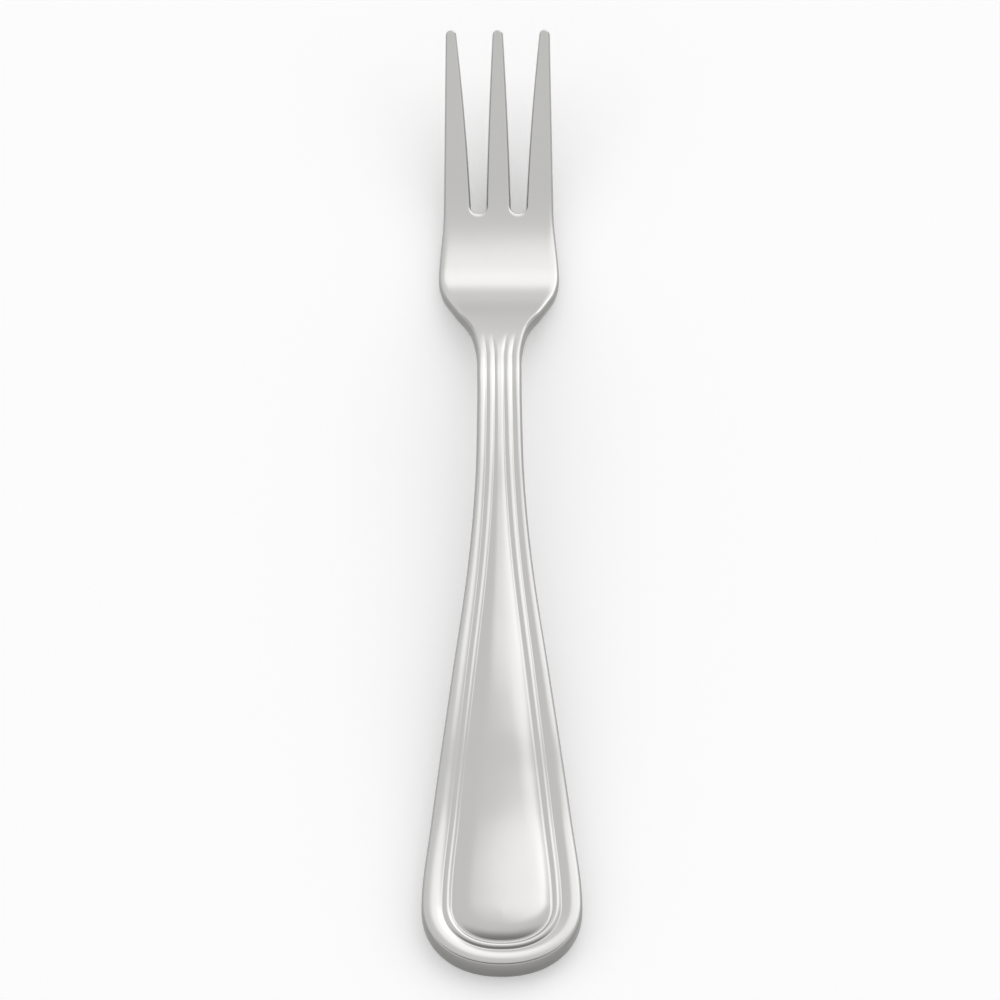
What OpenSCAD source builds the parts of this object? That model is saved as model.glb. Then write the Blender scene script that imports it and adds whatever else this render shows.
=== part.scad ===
// Oyster fork: a small three-tined fork stamped, coined and bent from one piece of steel.
// It lies on its back with the tines curling up. The width runs along X, the tines point
// to +Y, and Z is up from the surface that the fork lies on. The origin is on that surface,
// under the middle of the fork's length. All sizes are in millimetres.

/* [Lengths] */
// Length of the handle, from its round end to where the shoulders begin
handle_length = 88; // [76:0.5:100]
// Length of the round end, from its tip to the widest place of the handle
end_length = 8.8; // [7:0.1:11]
// Length of the shoulders, from the neck to the widest place of the head
shoulder_length = 16.5; // [13:0.5:20]
// Length of the head, from its widest place to the bottom of the slots
head_length = 9.95; // [7.5:0.05:12]
// Length of the tines, from the bottom of the slots to the tips
tine_length = 25.55; // [20:0.05:31]

/* [Widths] */
// Width of the handle near its round end
end_width = 18.3; // [15:0.1:21]
// Width of the neck
neck_width = 5.3; // [4.8:0.1:6.5]
// Width of the head at its widest place
head_width = 14.5; // [13.5:0.1:17]
// Width across the roots of the three tines
root_span = 13.3; // [12.6:0.1:15]
// Width across the tips of the three tines
tip_span = 12.8; // [11:0.1:15]
// Width of the middle tine at its root
middle_width = 3; // [2.4:0.1:3.6]
// Width of a slot at its round bottom
slot_width = 1.86; // [1.4:0.02:2.2]
// Width of a tine at its tip
tip_width = 1.3; // [1.1:0.05:1.6]

/* [Thickness] */
// Thickness of the handle at its round end
end_thickness = 2.6; // [2:0.1:3.2]
// Thickness of the neck
neck_thickness = 3; // [2.4:0.1:3.6]
// Thickness of the head
head_thickness = 1.7; // [1.3:0.1:2.4]
// Thickness of the tines at their tips
tip_thickness = 1.1; // [0.9:0.05:1.6]
// Distance over which the upper and lower edges are rounded
edge_round = 0.35; // [0.2:0.01:0.45]

/* [Curve] */
// Height of the underside at the crest of the arched handle
crest_height = 3.5; // [2.5:0.1:5.5]
// Distance from the crest of the arch to where the shoulders begin
crest_back = 6; // [3:0.5:12]
// Distance from the widest place of the head to the heel that the head rests on
heel_ahead = 1.5; // [0.5:0.1:4]
// Height of the underside at the tips of the tines
tip_height = 6.6; // [4:0.1:9]
// Length over which the head bends up from the heel into the straight tines
bend_length = 12; // [8:0.5:16]
// Depth by which the two resting places are rubbed flat
flat_depth = 0.06; // [0.04:0.01:0.1]
// Height by which the back of the handle curls up at its sides
back_crown = 0.25; // [0.1:0.05:0.4]

/* [Border] */
// Width of the rim round the end of the handle
rim_end_width = 2.4; // [1.8:0.05:3]
// Width of the rim along the neck
rim_neck_width = 1.12; // [0.9:0.02:1.3]
// Height by which the rim falls to its outer edge
rim_drop = 0.14; // [0.05:0.01:0.25]
// Width of the thread between the rim and the panel
thread_width = 1; // [0.7:0.05:1.2]
// Height of the thread above its two grooves
thread_height = 0.22; // [0.1:0.01:0.3]
// Depth of the two grooves below the rim
groove_depth = 0.28; // [0.15:0.01:0.35]
// Width of the sloping edge of the panel
panel_edge = 2.6; // [1.8:0.1:3.2]
// Height of that sloping edge above the groove, at the round end
panel_step = 0.46; // [0.25:0.01:0.55]
// Height by which the middle of the panel swells above its edge
panel_crown = 0.3; // [0.1:0.05:0.5]
// Length over which the border fades into the shoulders
fade_length = 8; // [5:0.5:12]

/* [Hidden] */

// Numbers of steps along the outline and across the metal
cap_steps = 14;
grip_steps = 24;
shoulder_steps = 16;
head_steps = 6;
tine_steps = 9;
tip_steps = 3;
edge_steps = 3;
// Half of the outline, from the roots of the tines to the tip of the round end
half_lines = head_steps + shoulder_steps + grip_steps + cap_steps;
tine_rows = tine_steps + tip_steps;

// Columns across one half of the fork, from the outline to the middle. On the handle
// they follow the rim, the thread, the panel's edge and the panel. On the head they
// follow an outer tine, a slot and half of the middle tine.
rim_shares = [0.18, 0.38, 0.6, 0.82, 1];
thread_shares = [0.25, 0.5, 0.75, 1];
edge_shares = [0.2, 0.5, 1];
dome_shares = [0.4, 0.7, 1];
rim_last = len(rim_shares);
thread_last = rim_last + len(thread_shares);
edge_last = thread_last + len(edge_shares);
columns = edge_last + len(dome_shares);
slot_first = 5;
slot_last = 11;

// Shape of the handle in plan: how far along the taper, and how much of the width of
// the round end is left over the width of the neck
taper_shares = [[0, 1], [0.15, 0.835], [0.4, 0.478], [0.6, 0.19], [0.76, 0.045], [0.9, 0.003], [1, 0]];
// Shape of the shoulders in plan: how far along them, and how much of the way from the
// width of the neck to the width of the head is done
shoulder_shares = [[0, 0], [0.2, 0.06], [0.35, 0.165], [0.45, 0.31], [0.55, 0.51], [0.65, 0.675],
    [0.8, 0.895], [1, 1]];
// Side view, from the round end up to the crest: how far along, and how much of the
// crest's height is reached. The end lies flat, then the handle rises in two bends.
rise_shares = [[0, 0], [0.12, 0.005], [0.24, 0.055], [0.32, 0.175], [0.4, 0.34], [0.5, 0.48], [0.6, 0.57],
    [0.7, 0.665], [0.8, 0.785], [0.9, 0.93], [1, 1]];
// Side view, from the crest down to the heel: how far along, and how much is lost
drop_shares = [[0, 0], [0.15, 0.03], [0.3, 0.155], [0.45, 0.325], [0.6, 0.53], [0.75, 0.77], [0.88, 0.94],
    [1, 1]];
// Fullness of the round end: 1 is a plain ellipse, and less swells its corners
fullness = 0.94;
// Place of the rim's highest line, as a share of the rim's width
crest_share = 0.48;
// Most of the panel's half width that its sloping edge may take
edge_limit_share = 0.8;
// How much of the border's height is left along the neck
neck_relief_share = 0.6;
// How much of the thickness each rounded edge takes
round_share = 0.42;
// How far the middle line of the round end runs past the widest place
spine_share = 0.08;
// How much the sides of the tines bulge as they taper
bulge_share = 0.4;
// Angle up to which the sides of a tine follow its round tip
tip_turn = 45;

// Places along the fork, from the tip of the round end
wide_y = handle_length + shoulder_length;
slot_y = wide_y + head_length;
slot_radius = slot_width / 2;
root_y = slot_y + slot_radius;
total_length = slot_y + tine_length;
tip_radius = tip_width / 2;
tip_y = total_length - tip_radius;
crest_y = handle_length - crest_back;
heel_y = wide_y + heel_ahead;
// Slope of the straight tines, which brings their tips to their height
tine_slope = tip_height / (total_length - heel_y - bend_length / 2);
// Middle and outer side of the slot on the right
slot_x = middle_width / 2 + slot_radius;
slot_outer_x = slot_x + slot_radius;

function mix(a, b, t) = a + (b - a) * t;
function clamp(t) = min(max(t, 0), 1);
function ease(t) = let (u = clamp(t)) u * u * (3 - 2 * u);

// Curve between two heights with a slope at each end
function bridge(t, a, b, slope_a, slope_b) =
    (2 * t ^ 3 - 3 * t ^ 2 + 1) * a + (t ^ 3 - 2 * t ^ 2 + t) * slope_a
    + (3 * t ^ 2 - 2 * t ^ 3) * b + (t ^ 3 - t ^ 2) * slope_b;

// Smooth curve through the rows of a table of places and values
function table_slope(table, k) =
    (k == 0 || k == len(table) - 1) ? 0
    : (table[k + 1][1] - table[k - 1][1]) / (table[k + 1][0] - table[k - 1][0]);
function table_at(table, place) =
    let (
        u = clamp(place),
        k = min(len([for (row = table) if (row[0] <= u) row]), len(table) - 1) - 1,
        step = table[k + 1][0] - table[k][0]
    )
    bridge((u - table[k][0]) / step, table[k][1], table[k + 1][1],
        table_slope(table, k) * step, table_slope(table, k + 1) * step);

// Side view: height of the underside, and thickness, along Y
function underside(y) =
    y < crest_y ? crest_height * table_at(rise_shares, y / crest_y)
    : y < heel_y ? crest_height * (1 - table_at(drop_shares, (y - crest_y) / (heel_y - crest_y)))
    : let (bent = min(y - heel_y, bend_length))
        tine_slope * (y - heel_y - bent + bent ^ 2 / bend_length / 2);
function thickness(y) =
    y < crest_y ? mix(end_thickness, neck_thickness, ease((y - end_length) / (crest_y - end_length)))
    : y < heel_y ? mix(neck_thickness, head_thickness, ease((y - crest_y) / (heel_y - crest_y)))
    : mix(head_thickness, tip_thickness, ease((y - heel_y) / (total_length - heel_y)));

// Plan view: half of the width of the handle, the shoulders and the head
function half_width(y) =
    y < handle_length ? mix(neck_width, end_width,
        table_at(taper_shares, (y - end_length) / (handle_length - end_length))) / 2
    : y < wide_y ? mix(neck_width, head_width,
        table_at(shoulder_shares, (y - handle_length) / shoulder_length)) / 2
    : mix(head_width, root_span, ease((y - wide_y) / (root_y - wide_y))) / 2;

// The body is drawn as lines from its outline to the middle. They run from the root of
// the left tine back along the left side, round the end and forward on the right side.
function side(i) = i < half_lines ? -1 : i > half_lines ? 1 : 0;
function half_index(i) = min(i, 2 * half_lines - i);
function cap_step(h) = h - head_steps - shoulder_steps - grip_steps;
function line_y(h) =
    h <= head_steps ? mix(root_y, wide_y, h / head_steps)
    : h <= head_steps + shoulder_steps ? mix(wide_y, handle_length, (h - head_steps) / shoulder_steps)
    : mix(handle_length, end_length, (h - head_steps - shoulder_steps) / grip_steps);
function line_start(i) =
    let (h = half_index(i), turn = 90 * cap_step(h) / cap_steps)
    turn > 0
    ? [side(i) * end_width / 2 * cos(turn) ^ fullness, end_length * (1 - sin(turn) ^ fullness)]
    : [side(i) * half_width(line_y(h)), line_y(h)];
function border_half_width(i) =
    let (h = half_index(i))
    cap_step(h) > 0 ? end_width / 2 : half_width(line_y(h));
function line_end(i) =
    let (h = half_index(i), k = cap_step(h))
    k > 0 ? [0, end_length * (1 - spine_share * k / cap_steps)] : [0, line_y(h)];

// Tines: 0 is the right one, 1 the middle one and 2 the left one
function tine_columns(k) = k == 1 ? 2 * (columns - slot_last) : slot_first;
function tine_taper(t) = t * (1 - bulge_share + bulge_share * t);
function outer_x(t) = mix(root_span, tip_span, t) / 2;
function inner_x(t) = mix(slot_outer_x, tip_span / 2 - tip_width, tine_taper(t));
function middle_x(t) = mix(middle_width, tip_width, tine_taper(t)) / 2;
function tine_side_x(k, s, t) =
    k == 1 ? s * middle_x(t)
    : k == 0 ? (s > 0 ? outer_x(t) : inner_x(t))
    : (s < 0 ? -outer_x(t) : -inner_x(t));
function tine_tip(k, angle) =
    [(tine_side_x(k, -1, 1) + tine_side_x(k, 1, 1)) / 2 + tip_radius * cos(angle),
    tip_y + tip_radius * sin(angle)];
function tine_side(k, s, r) =
    let (turn = tip_turn * max(r - tine_steps, 0) / tip_steps, t = r / tine_steps)
    r > tine_steps ? tine_tip(k, s > 0 ? turn : 180 - turn)
    : [tine_side_x(k, s, t), mix(root_y, tip_y, t)];

// The whole outline in plan, running anticlockwise from the root of the left tine
function tine_outline(k) = concat(
    [for (r = [1 : tine_rows]) tine_side(k, 1, r)],
    [for (c = [tine_columns(k) - 1 : -1 : 1]) tine_tip(k, mix(180 - tip_turn, tip_turn, c / tine_columns(k)))],
    [for (r = [tine_rows : -1 : 1]) tine_side(k, -1, r)]
);
function slot_point(s, j) =
    let (turn = 180 * (j - slot_first) / (slot_last - slot_first))
    [s * (slot_x + slot_radius * cos(turn)), root_y - slot_radius * sin(turn)];
outline = concat(
    [for (i = [0 : 2 * half_lines]) line_start(i)],
    tine_outline(0),
    [for (j = [slot_first : slot_last]) slot_point(1, j)],
    tine_outline(1),
    [for (j = [slot_last : -1 : slot_first]) slot_point(-1, j)],
    tine_outline(2)
);
outline_count = len(outline);

// Where each tine and slot starts in the outline
function tine_count(k) = 2 * tine_rows + tine_columns(k) - 1;
slot_count = slot_last - slot_first + 1;
function tine_first(k) = 2 * half_lines + 1 + (k > 0 ? tine_count(0) + slot_count : 0)
    + (k > 1 ? tine_count(1) + slot_count : 0);
function slot_place(s, j) =
    s > 0 ? tine_first(0) + tine_count(0) + j - slot_first
    : tine_first(1) + tine_count(1) + slot_last - j;

// The two skins end one edge_round inside the outline
function next_point(l) = outline[(l + 1) % outline_count];
function last_point(l) = outline[(l + outline_count - 1) % outline_count];
function outward(l) =
    let (along = next_point(l) - last_point(l))
    [along[1], -along[0]] / norm(along);
outward_list = [for (l = [0 : outline_count - 1]) outward(l)];
skin_edge = [for (l = [0 : outline_count - 1]) outline[l] - outward_list[l] * edge_round];

// Columns across the handle, as distances from the outline, and their heights
// The half width w sets the border, and the line's own length what is left for the panel
function flare(w) = clamp((2 * w - neck_width) / (end_width - neck_width));
function rim_width(w) = mix(rim_neck_width, rim_end_width, flare(w));
function panel_inset(w) = rim_width(w) + thread_width;
function soft_width(w) = min(panel_edge, (w - panel_inset(w)) * edge_limit_share);
function handle_inset(w, line, j) =
    j == 0 ? edge_round
    : j <= rim_last ? mix(edge_round, rim_width(w), rim_shares[j - 1])
    : j <= thread_last ? rim_width(w) + thread_width * thread_shares[j - rim_last - 1]
    : j <= edge_last ? panel_inset(w) + soft_width(w) * edge_shares[j - thread_last - 1]
    : mix(panel_inset(w) + soft_width(w), line, dome_shares[j - edge_last - 1]);
// The outer side of the rim falls towards the edge, and the shoulders and head do too
function outer_relief(w, distance) = -rim_drop * max(1 - distance / (crest_share * rim_width(w)), 0) ^ 2;
function inner_relief(q) = -groove_depth * max((q - crest_share) / (1 - crest_share), 0) ^ 2;
function rim_relief(w, distance) = outer_relief(w, distance) + inner_relief(distance / rim_width(w));
function thread_relief(q) = thread_height * (1 - (2 * q - 1) ^ 2) - groove_depth;
function step_height(w) = panel_step * sqrt(soft_width(w) / panel_edge);
function swell(w) = panel_crown * (w - panel_inset(w)) / (end_width / 2 - panel_inset(end_width / 2));
// The panel's edge sweeps up from the groove, and the swell rises over the whole panel
function panel_relief(w, line, distance) =
    let (
        edge = min((distance - panel_inset(w)) / soft_width(w), 1),
        across = (distance - panel_inset(w)) / (line - panel_inset(w))
    )
    step_height(w) * (1 - (1 - edge) ^ 3) + swell(w) * (1 - (1 - across) ^ 2) - groove_depth;
function handle_relief(w, line, j) =
    j <= rim_last ? rim_relief(w, handle_inset(w, line, j))
    : j <= thread_last ? thread_relief(thread_shares[j - rim_last - 1])
    : panel_relief(w, line, handle_inset(w, line, j));

// Columns across the head line up with the sides of the tines
function head_x(j) =
    j <= slot_first ? mix(root_span / 2 - edge_round, slot_outer_x, j / slot_first)
    : j <= slot_last ? slot_point(1, j)[0]
    : mix(middle_width / 2, 0, (j - slot_last) / (columns - slot_last));
function head_inset(w, j) = w * (1 - 2 * head_x(j) / root_span);
function inset(w, line, y, j) =
    mix(handle_inset(w, line, j), head_inset(w, j), ease((y - handle_length) / shoulder_length));

// Plan place of a point of the body
function front_point(s, j) =
    let (corner = skin_edge[s > 0 ? 2 * half_lines : 0])
    j == 0 ? corner
    : j < slot_first ? mix(corner, skin_edge[slot_place(s, slot_first)], j / slot_first)
    : j <= slot_last ? skin_edge[slot_place(s, j)]
    : j == columns ? [0, root_y]
    : mix(skin_edge[slot_place(s, slot_last)], [0, root_y], (j - slot_last) / (columns - slot_last));
function body_point(i, j) =
    let (a = line_start(i), b = line_end(i), line = norm(b - a))
    j == columns ? b
    : j == 0 ? skin_edge[i]
    : half_index(i) == 0 ? front_point(side(i), j)
    : a + (b - a) * inset(border_half_width(i), line, a[1], j) / line;
// The border is full on the handle and fades into the shoulders. The roll of the outer
// edge goes on over the shoulders and fades along the head.
function body_relief(i, j) =
    let (
        w = border_half_width(i),
        y = line_start(i)[1],
        line = norm(line_end(i) - line_start(i)),
        faded = ease((y - handle_length) / fade_length),
        bare = ease((y - wide_y) / (root_y - wide_y)),
        border = handle_relief(w, line, j) * mix(neck_relief_share, 1, flare(w)),
        roll = outer_relief(w, inset(w, line, y, j))
    )
    mix(border, roll * (1 - bare), faded);

// Plan place of a point of a tine, by row and by column from left to right
function root_point(k, c) =
    k == 0 ? front_point(1, slot_first - c)
    : k == 2 ? front_point(-1, c)
    : c < tine_columns(1) / 2 ? front_point(-1, slot_last + c)
    : front_point(1, columns - c + tine_columns(1) / 2);
function tine_point(k, r, c) =
    let (
        n = tine_columns(k),
        first = tine_first(k),
        right = skin_edge[first + r - 1],
        left = skin_edge[first + tine_count(k) - r]
    )
    r == 0 ? root_point(k, c)
    : c == n ? right
    : c == 0 ? left
    : r == tine_rows ? skin_edge[first + tine_rows + n - 1 - c]
    : mix(left, right, c / n);

// Heights: the upper skin carries the border, the lower one is plain
function upper(p, relief) = [p[0], p[1], underside(p[1]) + thickness(p[1]) + relief];
function crown(p) =
    back_crown * (2 * p[0] / mix(end_width, neck_width, clamp(p[1] / handle_length))) ^ 2
    * (1 - ease((p[1] - handle_length) / shoulder_length));
function lower(p) = [p[0], p[1], max(underside(p[1]) + crown(p) - flat_depth, 0)];

// The rounded edge between the skins, as steps down from the upper skin
function edge_relief(l) = l <= 2 * half_lines ? body_relief(l, 0) : 0;
function edge_point(l, from, to, turn) =
    let (
        p = outline[l] - outward_list[l] * edge_round * (1 - cos(turn)),
        z = mix(from[2], to[2], round_share * (1 - sin(turn)))
    )
    [p[0], p[1], z];
function edge_column(l) =
    let (
        top = upper(skin_edge[l], edge_relief(l)),
        bottom = lower(skin_edge[l]),
        turns = [for (k = [1 : edge_steps]) 90 - 90 * k / edge_steps]
    )
    concat(
        [top],
        [for (k = [0 : edge_steps - 1]) edge_point(l, top, bottom, turns[k])],
        [for (k = [edge_steps - 1 : -1 : 0]) edge_point(l, bottom, top, turns[k])],
        [bottom]
    );

// Two triangles between two neighbouring rows of points, split alike on both sides
function quad(a, b, c, d) =
    a[0] + b[0] + c[0] + d[0] > 0 ? [[a, b, d], [b, c, d]] : [[a, b, c], [a, c, d]];
function strip(near, far) =
    [for (j = [0 : len(near) - 2]) each quad(near[j], near[j + 1], far[j + 1], far[j])];
function sheet(rows) = [for (i = [0 : len(rows) - 2]) each strip(rows[i], rows[i + 1])];
function flipped(triangles) = [for (t = triangles) [t[2], t[1], t[0]]];

body_rows = [for (i = [0 : 2 * half_lines]) [for (j = [0 : columns]) body_point(i, j)]];
upper_body = [for (i = [0 : 2 * half_lines])
    [for (j = [0 : columns]) upper(body_rows[i][j], body_relief(i, j))]];
lower_body = [for (row = body_rows) [for (p = row) lower(p)]];
function tine_grid(k) =
    [for (r = [0 : tine_rows]) [for (c = [0 : tine_columns(k)]) tine_point(k, r, c)]];
function tine_skins(k) =
    let (rows = tine_grid(k))
    concat(
        flipped(sheet([for (row = rows) [for (p = row) upper(p, 0)]])),
        sheet([for (row = rows) [for (p = row) lower(p)]])
    );
edge_columns = [for (l = [0 : outline_count]) edge_column(l % outline_count)];

module fork() {
    triangles = concat(
        sheet(upper_body),
        flipped(sheet(lower_body)),
        flipped(sheet(edge_columns)),
        tine_skins(0),
        tine_skins(1),
        tine_skins(2)
    );
    color("silver")
    translate([0, -total_length / 2, 0])
    polyhedron(
        points = [for (t = triangles) each t],
        faces = [for (k = [0 : len(triangles) - 1]) [3 * k, 3 * k + 1, 3 * k + 2]]
    );
}

fork();
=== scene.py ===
import math

import bmesh
import bpy
import numpy as np
from mathutils import Matrix, Vector


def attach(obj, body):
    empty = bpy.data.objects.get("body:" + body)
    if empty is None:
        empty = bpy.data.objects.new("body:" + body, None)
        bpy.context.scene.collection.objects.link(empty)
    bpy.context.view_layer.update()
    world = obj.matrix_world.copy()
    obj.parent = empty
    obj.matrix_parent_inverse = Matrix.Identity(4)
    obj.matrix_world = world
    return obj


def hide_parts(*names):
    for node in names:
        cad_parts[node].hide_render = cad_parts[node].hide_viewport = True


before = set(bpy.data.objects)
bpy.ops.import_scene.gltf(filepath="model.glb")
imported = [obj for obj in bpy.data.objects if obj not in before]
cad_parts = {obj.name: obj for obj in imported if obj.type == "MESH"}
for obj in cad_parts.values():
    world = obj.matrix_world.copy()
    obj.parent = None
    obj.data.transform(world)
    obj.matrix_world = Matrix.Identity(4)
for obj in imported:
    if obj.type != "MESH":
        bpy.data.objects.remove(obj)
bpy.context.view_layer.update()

# Millimetres, as the fork's sizes are given in; every mesh is made in metres
MM = 0.001

# Lengths
HANDLE_LENGTH = 88
END_LENGTH = 8.8
SHOULDER_LENGTH = 16.5
HEAD_LENGTH = 9.95
TINE_LENGTH = 25.55
# Widths
END_WIDTH = 18.3
NECK_WIDTH = 5.3
HEAD_WIDTH = 14.5
ROOT_SPAN = 13.3
TIP_SPAN = 12.8
MIDDLE_WIDTH = 3
SLOT_WIDTH = 1.86
TIP_WIDTH = 1.3
# Thickness
END_THICKNESS = 2.6
NECK_THICKNESS = 3.0
HEAD_THICKNESS = 1.7
TIP_THICKNESS = 1.1
EDGE_ROUND = 0.35
# Curve
CREST_HEIGHT = 3.5
CREST_BACK = 6
HEEL_AHEAD = 1.5
TIP_HEIGHT = 6.6
BEND_LENGTH = 12
FLAT_DEPTH = 0.06
BACK_CROWN = 0.25
# Border
RIM_END_WIDTH = 2.4
RIM_NECK_WIDTH = 1.12
RIM_DROP = 0.14
THREAD_WIDTH = 1.0
THREAD_HEIGHT = 0.22
GROOVE_DEPTH = 0.28
PANEL_EDGE = 2.6
PANEL_STEP = 0.46
PANEL_CROWN = 0.3
FADE_LENGTH = 5
NECK_RELIEF_SHARE = 0.6
GROOVE_SOFTNESS = 0.05
# Curves as places and values, each a share of the sizes above: width of the handle and of the shoulders,
# and height of the underside up to the arch and down to the heel
TAPER_SHARES = [(0, 1), (0.15, 0.835), (0.4, 0.478), (0.6, 0.19), (0.76, 0.045), (0.9, 0.003), (1, 0)]
SHOULDER_SHARES = [(0, 0), (0.2, 0.06), (0.35, 0.165), (0.45, 0.31), (0.55, 0.51), (0.65, 0.675),
                   (0.8, 0.895), (1, 1)]
RISE_SHARES = [(0, 0), (0.12, 0.005), (0.24, 0.055), (0.32, 0.175), (0.4, 0.34), (0.5, 0.48),
               (0.6, 0.57), (0.7, 0.665), (0.8, 0.785), (0.9, 0.93), (1, 1)]
DROP_SHARES = [(0, 0), (0.15, 0.03), (0.3, 0.155), (0.45, 0.325), (0.6, 0.53), (0.75, 0.77),
               (0.88, 0.94), (1, 1)]
# Power that makes the round end fuller than an ellipse
FULLNESS = 0.94
# Where the rim is highest, of its width
CREST_SHARE = 0.48
# The most that the panel's edge takes of half the panel
EDGE_LIMIT_SHARE = 0.8
# Power of the panel's sweep
SWEEP_POWER = 3
# Height of each rounded edge, of the metal's
ROUND_SHARE = 0.42
# How far the inner ends of the end's lines spread, of the end's length
SPINE_SHARE = 0.08
# How much of the tines' taper is put off towards the tips
BULGE_SHARE = 0.4
# Where a tine's side goes over into its round tip
TIP_TURN = math.radians(45)

# Places along the fork, from the tip of its round end
WIDE_Y = HANDLE_LENGTH + SHOULDER_LENGTH
SLOT_Y = WIDE_Y + HEAD_LENGTH
SLOT_RADIUS = SLOT_WIDTH / 2
ROOT_Y = SLOT_Y + SLOT_RADIUS
TOTAL_LENGTH = SLOT_Y + TINE_LENGTH
TIP_RADIUS = TIP_WIDTH / 2
TIP_Y = TOTAL_LENGTH - TIP_RADIUS
CREST_Y = HANDLE_LENGTH - CREST_BACK
HEEL_Y = WIDE_Y + HEEL_AHEAD
SLOT_X = MIDDLE_WIDTH / 2 + SLOT_RADIUS
SLOT_OUTER_X = SLOT_X + SLOT_RADIUS

# Numbers of mesh lines along the outline and across the metal
CAP_STEPS = 56
GRIP_STEPS = 110
SHOULDER_STEPS = 44
HEAD_STEPS = 22
TINE_STEPS = 60
TIP_STEPS = 10
EDGE_STEPS = 6
RIM_COLUMNS = 14
THREAD_COLUMNS = 12
SLOPE_COLUMNS = 8
DOME_COLUMNS = 8
COLUMNS = RIM_COLUMNS + THREAD_COLUMNS + SLOPE_COLUMNS + DOME_COLUMNS
# Columns that end at the two sides of a slot
SLOT_FIRST = 14
SLOT_LAST = 34
SLOT_COUNT = SLOT_LAST - SLOT_FIRST + 1
HALF_LINES = HEAD_STEPS + SHOULDER_STEPS + GRIP_STEPS + CAP_STEPS
TINE_ROWS = TINE_STEPS + TIP_STEPS
# Points that agree to this many decimals of a millimetre are one
POINT_DIGITS = 6

# Camera: looking down from the handle's end, with a long lens a metre away
PICTURE = 1000
SENSOR_WIDTH = 36
CLIP_START = 0.05
CLIP_END = 20
VIEW_ELEVATION = math.radians(50)
VIEW_DISTANCE = 1.0
VIEW_ROLL = -0.0048
VIEW_TARGET = Vector((0, -0.00182, 0.003))
FOCAL_PIXELS = 8477.6

# Studio: a pale dome, dimmer high in front and near the floor, brighter low in front and behind, most of
# all behind to the right, with one large soft light high behind. Each part begins at its FROM and is full
# at its TO, by the direction's share on x for RIGHT, on -y for FRONT and on y for BACK and CORNER. By its
# share on z, FRONT goes from low to high between FRONT_LOW and FRONT_HIGH, and HORIZON ends at HORIZON_TO
DOME_LEVEL = 0.955
FRONT_FROM = -0.3
FRONT_TO = 0.25
FRONT_LOSS = 0.68
FRONT_FILL = 0.3
FRONT_LOW = 0.35
FRONT_HIGH = 0.7
BACK_FROM = 0.65
BACK_TO = 0.8
BACK_GAIN = 0.11
RIGHT_FROM = 0.12
RIGHT_TO = 0.47
CORNER_FROM = 0.51
CORNER_TO = 0.76
CORNER_GAIN = 0.65
HORIZON_LEVEL = 0.54
HORIZON_TO = 0.4
LIGHT_SIDE = math.radians(12.2)
LIGHT_FALL = math.radians(49.5)
LIGHT_INNER = math.radians(16.8)
LIGHT_OUTER = math.radians(23)
LIGHT_GAIN = 0.66
# Floor, reaching this many metres each way
FLOOR_REACH = 4.0
FLOOR_COLOUR = 0.93
FLOOR_ROUGHNESS = 0.8
FLOOR_SPECULAR = 0.2
FLOOR_LIFT = 0.22

# Steel
STEEL_COLOUR = (0.545, 0.54, 0.53, 1)
STEEL_ROUGHNESS = 0.17
# Sideways-facing surfaces, mostly the punched sides, painted darker as shade and made rougher: in full where
# the surface's direction has up to WALL_FROM on z, gone from WALL_TO on, and rougher than the faces by
# WALL_ROUGHNESS, as punched sides are
# Painted shade: the darker colour that the sideways-facing sides are given
WALL_PAINTED_SHADE_COLOUR = (0.3, 0.297, 0.29, 1)
WALL_FROM = 0.3
WALL_TO = 0.85
WALL_ROUGHNESS = 0.1
# Polishing lines along the fork, cloudy wear and faint waves, with heights in metres
LINE_SCALE = 900
LINE_STRETCH = (6, 0.25, 6)
LINE_DETAIL = 3
LINE_ROUGHNESS = 0.06
LINE_HEIGHT = 0.0000007
CLOUD_SCALE = 160
CLOUD_DETAIL = 2
CLOUD_ROUGHNESS = 0.04
WAVE_SCALE = 260
WAVE_STRETCH = (1, 0.6, 1)
WAVE_DETAIL = 1
WAVE_HEIGHT = 0.000012


def mix(a, b, t):
    return a + (b - a) * t


def clamp(t):
    return min(max(t, 0), 1)


def ease(t):
    u = clamp(t)
    return u * u * (3 - 2 * u)


def bridge(t, a, b, slope_a, slope_b):
    """Curve between two heights with a slope at each end."""
    return ((2 * t**3 - 3 * t**2 + 1) * a + (t**3 - 2 * t**2 + t) * slope_a
            + (3 * t**2 - 2 * t**3) * b + (t**3 - t**2) * slope_b)


def table_slope(table, k):
    if k in (0, len(table) - 1):
        return 0
    return (table[k + 1][1] - table[k - 1][1]) / (table[k + 1][0] - table[k - 1][0])


def table_at(table, place):
    """Smooth curve through the rows of a table of places and values."""
    u = clamp(place)
    k = min(sum(row[0] <= u for row in table), len(table) - 1) - 1
    step = table[k + 1][0] - table[k][0]
    return bridge((u - table[k][0]) / step, table[k][1], table[k + 1][1],
                  table_slope(table, k) * step, table_slope(table, k + 1) * step)


# Side view
def underside(y):
    if y < CREST_Y:
        return CREST_HEIGHT * table_at(RISE_SHARES, y / CREST_Y)
    if y < HEEL_Y:
        return CREST_HEIGHT * (1 - table_at(DROP_SHARES, (y - CREST_Y) / (HEEL_Y - CREST_Y)))
    slope = TIP_HEIGHT / (TOTAL_LENGTH - HEEL_Y - BEND_LENGTH / 2)
    bent = min(y - HEEL_Y, BEND_LENGTH)
    return slope * (y - HEEL_Y - bent + bent * bent / BEND_LENGTH / 2)


def thickness(y):
    if y < CREST_Y:
        return mix(END_THICKNESS, NECK_THICKNESS, ease((y - END_LENGTH) / (CREST_Y - END_LENGTH)))
    if y < HEEL_Y:
        return mix(NECK_THICKNESS, HEAD_THICKNESS, ease((y - CREST_Y) / (HEEL_Y - CREST_Y)))
    return mix(HEAD_THICKNESS, TIP_THICKNESS, ease((y - HEEL_Y) / (TOTAL_LENGTH - HEEL_Y)))


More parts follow.
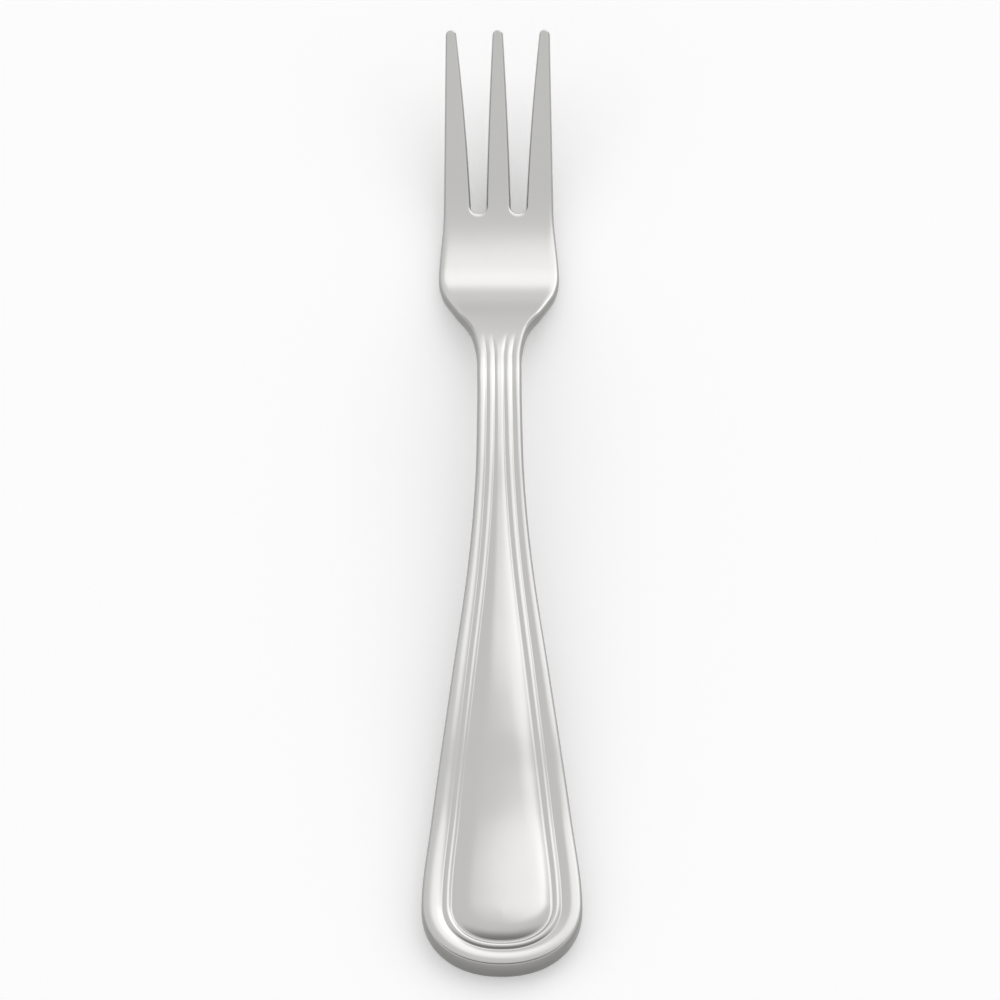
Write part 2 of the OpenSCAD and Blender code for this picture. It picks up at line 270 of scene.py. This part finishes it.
# Plan view
def half_width(y):
    if y < HANDLE_LENGTH:
        share = table_at(TAPER_SHARES, (y - END_LENGTH) / (HANDLE_LENGTH - END_LENGTH))
        return mix(NECK_WIDTH, END_WIDTH, share) / 2
    if y < WIDE_Y:
        share = table_at(SHOULDER_SHARES, (y - HANDLE_LENGTH) / SHOULDER_LENGTH)
        return mix(NECK_WIDTH, HEAD_WIDTH, share) / 2
    return mix(HEAD_WIDTH, ROOT_SPAN, ease((y - WIDE_Y) / (ROOT_Y - WIDE_Y))) / 2


# Lines across the body: line i and its mirror image have the same half index h, counted from the tines
def side(i):
    return (i > HALF_LINES) - (i < HALF_LINES)


def half_index(i):
    return min(i, 2 * HALF_LINES - i)


def cap_step(h):
    """How many lines past the straight part of the handle, on its round end."""
    return h - HEAD_STEPS - SHOULDER_STEPS - GRIP_STEPS


def line_y(h):
    if h <= HEAD_STEPS:
        return mix(ROOT_Y, WIDE_Y, h / HEAD_STEPS)
    if h <= HEAD_STEPS + SHOULDER_STEPS:
        return mix(WIDE_Y, HANDLE_LENGTH, (h - HEAD_STEPS) / SHOULDER_STEPS)
    return mix(HANDLE_LENGTH, END_LENGTH, (h - HEAD_STEPS - SHOULDER_STEPS) / GRIP_STEPS)


def line_start(i):
    """Outline end of line i. The lines run back on the left, round the end and forward on the right."""
    h = half_index(i)
    turn = math.pi / 2 * cap_step(h) / CAP_STEPS
    if turn > 0:
        return np.array([side(i) * END_WIDTH / 2 * max(math.cos(turn), 0) ** FULLNESS,
                         END_LENGTH * (1 - math.sin(turn) ** FULLNESS)])
    return np.array([side(i) * half_width(line_y(h)), line_y(h)])


def line_end(i):
    """Inner end of line i, on the middle of the fork."""
    h = half_index(i)
    k = cap_step(h)
    return np.array([0, END_LENGTH * (1 - SPINE_SHARE * k / CAP_STEPS) if k > 0 else line_y(h)])


def border_half_width(i):
    """Half the handle's width that the border of line i goes by."""
    h = half_index(i)
    return END_WIDTH / 2 if cap_step(h) > 0 else half_width(line_y(h))


# Tines: k is 0 for the right one, 1 for the middle one and 2 for the left one
def tine_columns(k):
    return 2 * (COLUMNS - SLOT_LAST) if k == 1 else SLOT_FIRST


def tine_taper(t):
    return t * (1 - BULGE_SHARE + BULGE_SHARE * t)


def tine_side_x(k, s, t):
    """Place across of tine k's right side (s = 1) or left side (s = -1), a share t of the way to its tip."""
    outer = mix(ROOT_SPAN, TIP_SPAN, t) / 2
    inner = mix(SLOT_OUTER_X, TIP_SPAN / 2 - TIP_WIDTH, tine_taper(t))
    middle = mix(MIDDLE_WIDTH, TIP_WIDTH, tine_taper(t)) / 2
    if k == 1:
        return s * middle
    if k == 0:
        return outer if s > 0 else inner
    return -outer if s < 0 else -inner


def tine_tip(k, angle):
    centre = (tine_side_x(k, -1, 1) + tine_side_x(k, 1, 1)) / 2
    return np.array([centre + TIP_RADIUS * math.cos(angle), TIP_Y + TIP_RADIUS * math.sin(angle)])


def tine_side(k, s, r):
    if r > TINE_STEPS:
        turn = TIP_TURN * (r - TINE_STEPS) / TIP_STEPS
        return tine_tip(k, turn if s > 0 else math.pi - turn)
    t = r / TINE_STEPS
    return np.array([tine_side_x(k, s, t), mix(ROOT_Y, TIP_Y, t)])


def tine_outline(k):
    n = tine_columns(k)
    return ([tine_side(k, 1, r) for r in range(1, TINE_ROWS + 1)]
            + [tine_tip(k, mix(math.pi - TIP_TURN, TIP_TURN, c / n)) for c in range(n - 1, 0, -1)]
            + [tine_side(k, -1, r) for r in range(TINE_ROWS, 0, -1)])


def slot_point(s, j):
    """Point of a slot's round bottom at column j, in the right slot (s = 1) or the left one (s = -1)."""
    turn = math.pi * (j - SLOT_FIRST) / (SLOT_LAST - SLOT_FIRST)
    return np.array([s * (SLOT_X + SLOT_RADIUS * math.cos(turn)), ROOT_Y - SLOT_RADIUS * math.sin(turn)])


OUTLINE = ([line_start(i) for i in range(2 * HALF_LINES + 1)]
           + tine_outline(0)
           + [slot_point(1, j) for j in range(SLOT_FIRST, SLOT_LAST + 1)]
           + tine_outline(1)
           + [slot_point(-1, j) for j in range(SLOT_LAST, SLOT_FIRST - 1, -1)]
           + tine_outline(2))


def tine_count(k):
    return 2 * TINE_ROWS + tine_columns(k) - 1


def tine_first(k):
    """Place in the outline of tine k's first point."""
    first = 2 * HALF_LINES + 1
    for earlier in range(k):
        first += tine_count(earlier) + SLOT_COUNT
    return first


def slot_place(s, j):
    """Place in the outline of a slot's point at column j."""
    if s > 0:
        return tine_first(0) + tine_count(0) + j - SLOT_FIRST
    return tine_first(1) + tine_count(1) + SLOT_LAST - j


def outward(place):
    """Outward direction at a point of the outline, halfway between those of the two sides that meet there."""
    here = OUTLINE[place]
    before = here - OUTLINE[place - 1]
    after = OUTLINE[(place + 1) % len(OUTLINE)] - here
    along = before / np.linalg.norm(before) + after / np.linalg.norm(after)
    along /= np.linalg.norm(along)
    return np.array([along[1], -along[0]])


OUTWARD = [outward(place) for place in range(len(OUTLINE))]
SKIN_EDGE = [p - n * EDGE_ROUND for p, n in zip(OUTLINE, OUTWARD)]


# Border of the handle, by distance in from the outline, where the handle is w wide each side of its middle
def flare(w):
    """From 0 at the neck to 1 at the wide end."""
    return clamp((2 * w - NECK_WIDTH) / (END_WIDTH - NECK_WIDTH))


def rim_width(w):
    return mix(RIM_NECK_WIDTH, RIM_END_WIDTH, flare(w))


def panel_inset(w):
    return rim_width(w) + THREAD_WIDTH


def slope_width(w):
    return min(PANEL_EDGE, (w - panel_inset(w)) * EDGE_LIMIT_SHARE)


def border_inset(w, line, j):
    """Distance in from the outline of column j, on a line of the length given."""
    rim = rim_width(w)
    panel = panel_inset(w)
    slope = slope_width(w)
    if j <= RIM_COLUMNS:
        return mix(EDGE_ROUND, rim, j / RIM_COLUMNS)
    j -= RIM_COLUMNS
    if j <= THREAD_COLUMNS:
        return mix(rim, panel, j / THREAD_COLUMNS)
    j -= THREAD_COLUMNS
    if j <= SLOPE_COLUMNS:
        return mix(panel, panel + slope, j / SLOPE_COLUMNS)
    j -= SLOPE_COLUMNS
    return mix(panel + slope, line, j / DOME_COLUMNS)


def rounded(q):
    return 1 - (1 - q) ** 2


def swept(q):
    return 1 - (1 - q) ** SWEEP_POWER


def soft_max(a, b):
    """The larger of two heights, with the corner between them rounded."""
    near = max(GROOVE_SOFTNESS - abs(a - b), 0) / GROOVE_SOFTNESS
    return max(a, b) + near * near * GROOVE_SOFTNESS / 4


def relief_share(w):
    return mix(NECK_RELIEF_SHARE, 1, flare(w))


def edge_relief(w, inset):
    """Roll-off towards the edge, which the shoulders and the head have too."""
    return -RIM_DROP * max(1 - inset / (CREST_SHARE * rim_width(w)), 0) ** 2


def border_relief(w, line, inset):
    """Height over the plain handle: the highest of the rim, the thread and the panel.

    Outside its own edge the panel goes on down at the slope with which its sweep begins.
    """
    rim_w = rim_width(w)
    q = inset / rim_w
    if q < CREST_SHARE:
        rim = -RIM_DROP * (1 - q / CREST_SHARE) ** 2
    else:
        rim = -GROOVE_DEPTH * ((q - CREST_SHARE) / (1 - CREST_SHARE)) ** 2
    q = (inset - rim_w) / THREAD_WIDTH
    thread = THREAD_HEIGHT * (1 - (2 * q - 1) ** 2) - GROOVE_DEPTH
    panel_in = panel_inset(w)
    slope = slope_width(w)
    step = PANEL_STEP * math.sqrt(slope / PANEL_EDGE)
    crown = PANEL_CROWN * (w - panel_in) / (END_WIDTH / 2 - panel_inset(END_WIDTH / 2))
    q = (inset - panel_in) / slope
    if q < 0:
        panel = SWEEP_POWER * step * q - GROOVE_DEPTH
    else:
        across = (inset - panel_in) / (line - panel_in)
        panel = step * swept(min(q, 1)) + crown * rounded(min(across, 1)) - GROOVE_DEPTH
    return soft_max(soft_max(rim, thread), panel) * relief_share(w)


# Columns across the head line up with the sides of the tines
def head_x(j):
    if j <= SLOT_FIRST:
        return mix(ROOT_SPAN / 2 - EDGE_ROUND, SLOT_OUTER_X, j / SLOT_FIRST)
    if j <= SLOT_LAST:
        return slot_point(1, j)[0]
    return mix(MIDDLE_WIDTH / 2, 0, (j - SLOT_LAST) / (COLUMNS - SLOT_LAST))


def front_shift(i, j):
    """How far point j of line i moves so that the head's lines bend towards the bottoms of the slots."""
    h = half_index(i)
    straight = np.array([side(i) * head_x(j), ROOT_Y])
    return (front_point(side(i), j) - straight) * max(1 - h / HEAD_STEPS, 0)


def line_inset(i, line, y, j):
    """Distance in from the outline of column j of line i: by the border on the handle, by the tines ahead."""
    w = border_half_width(i)
    head = w * (1 - 2 * head_x(j) / ROOT_SPAN)
    return mix(border_inset(w, line, j), head, ease((y - HANDLE_LENGTH) / SHOULDER_LENGTH))


def front_point(s, j):
    """Point at column j of the head's last line, along the roots of the tines and round the slots."""
    corner = SKIN_EDGE[2 * HALF_LINES if s > 0 else 0]
    if j < SLOT_FIRST:
        return mix(corner, SKIN_EDGE[slot_place(s, SLOT_FIRST)], j / SLOT_FIRST)
    if j <= SLOT_LAST:
        return SKIN_EDGE[slot_place(s, j)]
    middle = np.array([0, ROOT_Y])
    return mix(SKIN_EDGE[slot_place(s, SLOT_LAST)], middle, (j - SLOT_LAST) / (COLUMNS - SLOT_LAST))


def upper(p, relief):
    return [p[0], p[1], underside(p[1]) + thickness(p[1]) + relief]


def lower(p):
    """Point of the back: the handle's sides curl up a little, and what is below the table is cut flat."""
    width = mix(END_WIDTH, NECK_WIDTH, clamp(p[1] / HANDLE_LENGTH))
    curl = BACK_CROWN * (2 * p[0] / width) ** 2 * (1 - ease((p[1] - HANDLE_LENGTH) / SHOULDER_LENGTH))
    return [p[0], p[1], max(underside(p[1]) + curl - FLAT_DEPTH, 0)]


def body_line(i):
    """Upper and lower points of line i, from the edge of the skins to the middle."""
    a = line_start(i)
    b = line_end(i)
    line = np.linalg.norm(b - a)
    shown = 1 - ease((a[1] - HANDLE_LENGTH) / FADE_LENGTH)
    edge_shown = 1 - ease((a[1] - WIDE_Y) / (ROOT_Y - WIDE_Y))
    w = border_half_width(i)
    top = []
    bottom = []
    for j in range(COLUMNS + 1):
        inset = line_inset(i, line, a[1], j)
        if j == COLUMNS:
            p = b
        elif half_index(i) == 0:
            p = front_point(side(i), j)
        elif j == 0:
            p = SKIN_EDGE[i]
        else:
            p = a + (b - a) * inset / line + front_shift(i, j)
        relief = edge_relief(w, inset) * edge_shown
        if shown > 0:
            relief = mix(relief, border_relief(w, line, inset), shown)
        top.append(upper(p, relief))
        bottom.append(lower(p))
    return top, bottom


def root_point(k, c):
    """Point c of tine k's first row, which it shares with the head's last line."""
    if k == 0:
        return front_point(1, SLOT_FIRST - c)
    if k == 2:
        return front_point(-1, c)
    half = tine_columns(1) // 2
    return front_point(-1, SLOT_LAST + c) if c <= half else front_point(1, COLUMNS - c + half)


def tine_point(k, r, c):
    """Point c of tine k's row r, from left to right."""
    n = tine_columns(k)
    first = tine_first(k)
    if r == 0:
        return root_point(k, c)
    if r == TINE_ROWS and 0 < c < n:
        return SKIN_EDGE[first + TINE_ROWS + n - 1 - c]
    right = SKIN_EDGE[first + r - 1]
    left = SKIN_EDGE[first + tine_count(k) - r]
    return mix(left, right, c / n)


def edge_column(place, top, bottom):
    """Points of the rounded edge, from the upper skin's edge point to the lower one's."""
    column = [top]
    turns = [math.pi / 2 * (1 - k / EDGE_STEPS) for k in range(1, EDGE_STEPS + 1)]
    for begin, end, order in ((top, bottom, turns), (bottom, top, turns[::-1])):
        for turn in order:
            p = OUTLINE[place] - OUTWARD[place] * EDGE_ROUND * (1 - math.cos(turn))
            column.append([p[0], p[1], mix(begin[2], end[2], ROUND_SHARE * (1 - math.sin(turn)))])
    column.append(bottom)
    return column


def sheet_faces(rows, flip):
    """Quads between neighbouring rows, as lists of four points, in reverse where flip is set."""
    faces = []
    for near, far in zip(rows, rows[1:]):
        for j in range(len(near) - 1):
            face = [near[j], near[j + 1], far[j + 1], far[j]]
            faces.append(face[::-1] if flip else face)
    return faces


def fork_faces():
    """Faces of the body, the tines and the rounded edge that joins their upper and lower skins."""
    lines = [body_line(i) for i in range(2 * HALF_LINES + 1)]
    faces = sheet_faces([top for top, bottom in lines], True)
    faces += sheet_faces([bottom for top, bottom in lines], False)
    for k in range(3):
        rows = [[tine_point(k, r, c) for c in range(tine_columns(k) + 1)] for r in range(TINE_ROWS + 1)]
        faces += sheet_faces([[upper(p, 0) for p in row] for row in rows], False)
        faces += sheet_faces([[lower(p) for p in row] for row in rows], True)
    columns = []
    for place in list(range(len(OUTLINE))) + [0]:
        on_body = place <= 2 * HALF_LINES
        top = lines[place][0][0] if on_body else upper(SKIN_EDGE[place], 0)
        columns.append(edge_column(place, top, lower(SKIN_EDGE[place])))
    return faces + sheet_faces(columns, False)


def make_fork():
    """The fork as one closed mesh: points that meet are joined, and sides of no length are left out."""
    faces = fork_faces()
    points = np.array([p for face in faces for p in face])
    places, index = np.unique(np.round(points, POINT_DIGITS), axis=0, return_inverse=True)
    index = index.reshape(-1, 4)
    places[:, 1] -= TOTAL_LENGTH / 2
    mesh = bpy.data.meshes.new("fork_skin")
    quads = [[v for n, v in enumerate(face) if v != face[n - 1]] for face in index.tolist()]
    mesh.from_pydata((places * MM).tolist(), [], quads)
    mesh.validate()
    fork = bpy.data.objects.new("fork_skin", mesh)
    bpy.context.scene.collection.objects.link(fork)
    work = bmesh.new()
    work.from_mesh(mesh)
    bmesh.ops.recalc_face_normals(work, faces=work.faces)
    work.to_mesh(mesh)
    work.free()
    mesh.shade_smooth()
    return fork


def link(tree, start, end):
    tree.links.new(start, end)


def math_node(tree, operation, *values):
    """A math node whose inputs are numbers or other nodes' outputs."""
    node = tree.nodes.new("ShaderNodeMath")
    node.operation = operation
    for k, value in enumerate(values):
        if isinstance(value, (int, float)):
            node.inputs[k].default_value = value
        else:
            link(tree, value, node.inputs[k])
    return node.outputs[0]


def ramp_node(tree, value, low, high):
    """Smooth step from 0 at low to 1 at high."""
    node = tree.nodes.new("ShaderNodeMapRange")
    node.interpolation_type = "SMOOTHSTEP"
    link(tree, value, node.inputs["Value"])
    node.inputs["From Min"].default_value = low
    node.inputs["From Max"].default_value = high
    return node.outputs["Result"]


def noise_node(tree, way, scale, detail, stretch=(1, 1, 1)):
    """Noise over the object's own coordinates, stretched by the three factors."""
    place = tree.nodes.new("ShaderNodeMapping")
    place.inputs["Scale"].default_value = stretch
    link(tree, way, place.inputs["Vector"])
    noise = tree.nodes.new("ShaderNodeTexNoise")
    noise.inputs["Scale"].default_value = scale
    noise.inputs["Detail"].default_value = detail
    link(tree, place.outputs["Vector"], noise.inputs["Vector"])
    return noise.outputs["Fac"]


def steel_material():
    """Polished stainless steel: fine polishing lines, a faint unevenness, and punched sides that are rougher
    and painted darker as shade.
    """
    material = bpy.data.materials.new("polished_steel")
    material.use_nodes = True
    tree = material.node_tree
    shader = tree.nodes["Principled BSDF"]
    shader.inputs["Metallic"].default_value = 1.0
    coords = tree.nodes.new("ShaderNodeTexCoord")
    way = coords.outputs["Object"]
    split = tree.nodes.new("ShaderNodeSeparateXYZ")
    link(tree, coords.outputs["Normal"], split.inputs[0])
    upright = math_node(tree, "ABSOLUTE", split.outputs["Z"])
    # Sides that face sideways: painted darker as shade, and rougher as punched sides are
    wall_shade_and_roughness = math_node(tree, "SUBTRACT", 1.0, ramp_node(tree, upright, WALL_FROM, WALL_TO))
    lines = noise_node(tree, way, LINE_SCALE, LINE_DETAIL, LINE_STRETCH)
    cloud = noise_node(tree, way, CLOUD_SCALE, CLOUD_DETAIL)
    waves = noise_node(tree, way, WAVE_SCALE, WAVE_DETAIL, WAVE_STRETCH)
    # Painted shade: the sideways-facing sides get a darker colour than the faces
    painted_side_shade = tree.nodes.new("ShaderNodeMix")
    painted_side_shade.data_type = "RGBA"
    painted_side_shade.inputs["A"].default_value = STEEL_COLOUR
    painted_side_shade.inputs["B"].default_value = WALL_PAINTED_SHADE_COLOUR
    link(tree, wall_shade_and_roughness, painted_side_shade.inputs["Factor"])
    link(tree, painted_side_shade.outputs["Result"], shader.inputs["Base Color"])
    rough = math_node(tree, "MULTIPLY_ADD", lines, LINE_ROUGHNESS, STEEL_ROUGHNESS - LINE_ROUGHNESS / 2)
    rough = math_node(tree, "MULTIPLY_ADD", cloud, CLOUD_ROUGHNESS, rough)
    rough = math_node(tree, "MULTIPLY_ADD", wall_shade_and_roughness, WALL_ROUGHNESS, rough)
    link(tree, rough, shader.inputs["Roughness"])
    height = math_node(tree, "MULTIPLY", waves, WAVE_HEIGHT)
    height = math_node(tree, "MULTIPLY_ADD", lines, LINE_HEIGHT, height)
    bump = tree.nodes.new("ShaderNodeBump")
    bump.inputs["Distance"].default_value = 1.0
    link(tree, height, bump.inputs["Height"])
    link(tree, bump.outputs["Normal"], shader.inputs["Normal"])
    return material


def make_stage():
    """A pale floor, lifted towards white where a camera or a mirror sees it, which keeps its shadow."""
    mesh = bpy.data.meshes.new("floor")
    corners = [(x * FLOOR_REACH, y * FLOOR_REACH, 0) for x, y in ((-1, -1), (1, -1), (1, 1), (-1, 1))]
    mesh.from_pydata(corners, [], [(0, 1, 2, 3)])
    floor = bpy.data.objects.new("floor", mesh)
    bpy.context.scene.collection.objects.link(floor)
    material = bpy.data.materials.new("floor_white")
    material.use_nodes = True
    tree = material.node_tree
    shader = tree.nodes["Principled BSDF"]
    shader.inputs["Base Color"].default_value = (FLOOR_COLOUR, FLOOR_COLOUR, FLOOR_COLOUR, 1)
    shader.inputs["Roughness"].default_value = FLOOR_ROUGHNESS
    shader.inputs["Specular IOR Level"].default_value = FLOOR_SPECULAR
    path = tree.nodes.new("ShaderNodeLightPath")
    seen = math_node(tree, "MAXIMUM", path.outputs["Is Camera Ray"], path.outputs["Is Glossy Ray"])
    seen = math_node(tree, "MAXIMUM", seen, path.outputs["Is Transmission Ray"])
    shader.inputs["Emission Color"].default_value = (1, 1, 1, 1)
    link(tree, math_node(tree, "MULTIPLY", seen, FLOOR_LIFT), shader.inputs["Emission Strength"])
    mesh.materials.append(material)


def make_camera():
    data = bpy.data.cameras.new("camera")
    data.sensor_width = SENSOR_WIDTH
    data.lens = FOCAL_PIXELS / PICTURE * SENSOR_WIDTH
    data.clip_start = CLIP_START
    data.clip_end = CLIP_END
    camera = bpy.data.objects.new("camera", data)
    bpy.context.scene.collection.objects.link(camera)
    back = Vector((0, -math.cos(VIEW_ELEVATION), math.sin(VIEW_ELEVATION)))
    aim = (-back).to_track_quat("-Z", "Y").to_matrix().to_4x4()
    camera.matrix_world = (Matrix.Translation(VIEW_TARGET + back * VIEW_DISTANCE) @ aim
                           @ Matrix.Rotation(VIEW_ROLL, 4, "Z"))
    bpy.context.scene.camera = camera


def make_lights():
    """The world's light by direction. The soft light lies LIGHT_FALL back from overhead and LIGHT_SIDE to
    the right, and fades out between the angles LIGHT_INNER and LIGHT_OUTER from its middle.
    """
    world = bpy.data.worlds.new("studio")
    world.use_nodes = True
    bpy.context.scene.world = world
    tree = world.node_tree
    background = tree.nodes["Background"]
    way = tree.nodes.new("ShaderNodeTexCoord").outputs["Generated"]
    split = tree.nodes.new("ShaderNodeSeparateXYZ")
    link(tree, way, split.inputs[0])
    x, y, z = split.outputs
    front = ramp_node(tree, math_node(tree, "MULTIPLY", y, -1.0), FRONT_FROM, FRONT_TO)
    high_front = math_node(tree, "MULTIPLY", front, ramp_node(tree, z, FRONT_LOW, FRONT_HIGH))
    low_front = math_node(tree, "SUBTRACT", front, high_front)
    shade = math_node(tree, "MULTIPLY_ADD", high_front, -FRONT_LOSS, 1.0)
    low = ramp_node(tree, z, 0, HORIZON_TO)
    level = math_node(tree, "MULTIPLY_ADD", low, DOME_LEVEL * (1 - HORIZON_LEVEL), DOME_LEVEL * HORIZON_LEVEL)
    level = math_node(tree, "MULTIPLY_ADD", low_front, FRONT_FILL, level)
    level = math_node(tree, "MULTIPLY_ADD", ramp_node(tree, y, BACK_FROM, BACK_TO), BACK_GAIN, level)
    right = ramp_node(tree, x, RIGHT_FROM, RIGHT_TO)
    corner = math_node(tree, "MULTIPLY", right, ramp_node(tree, y, CORNER_FROM, CORNER_TO))
    level = math_node(tree, "MULTIPLY_ADD", corner, CORNER_GAIN, level)
    level = math_node(tree, "MULTIPLY", level, shade)
    dot = tree.nodes.new("ShaderNodeVectorMath")
    dot.operation = "DOT_PRODUCT"
    link(tree, way, dot.inputs[0])
    dot.inputs[1].default_value = (math.sin(LIGHT_SIDE), math.cos(LIGHT_SIDE) * math.sin(LIGHT_FALL),
                                   math.cos(LIGHT_SIDE) * math.cos(LIGHT_FALL))
    away = math_node(tree, "ARCCOSINE", dot.outputs["Value"])
    lit = math_node(tree, "SUBTRACT", 1.0, ramp_node(tree, away, LIGHT_INNER, LIGHT_OUTER))
    link(tree, math_node(tree, "MULTIPLY_ADD", lit, LIGHT_GAIN, level), background.inputs["Strength"])
    background.inputs["Color"].default_value = (1, 1, 1, 1)


fork = make_fork()
fork.data.materials.append(steel_material())
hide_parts("fork")
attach(fork, "root")
make_stage()
make_camera()
make_lights()
bpy.context.scene.view_settings.view_transform = "Standard"
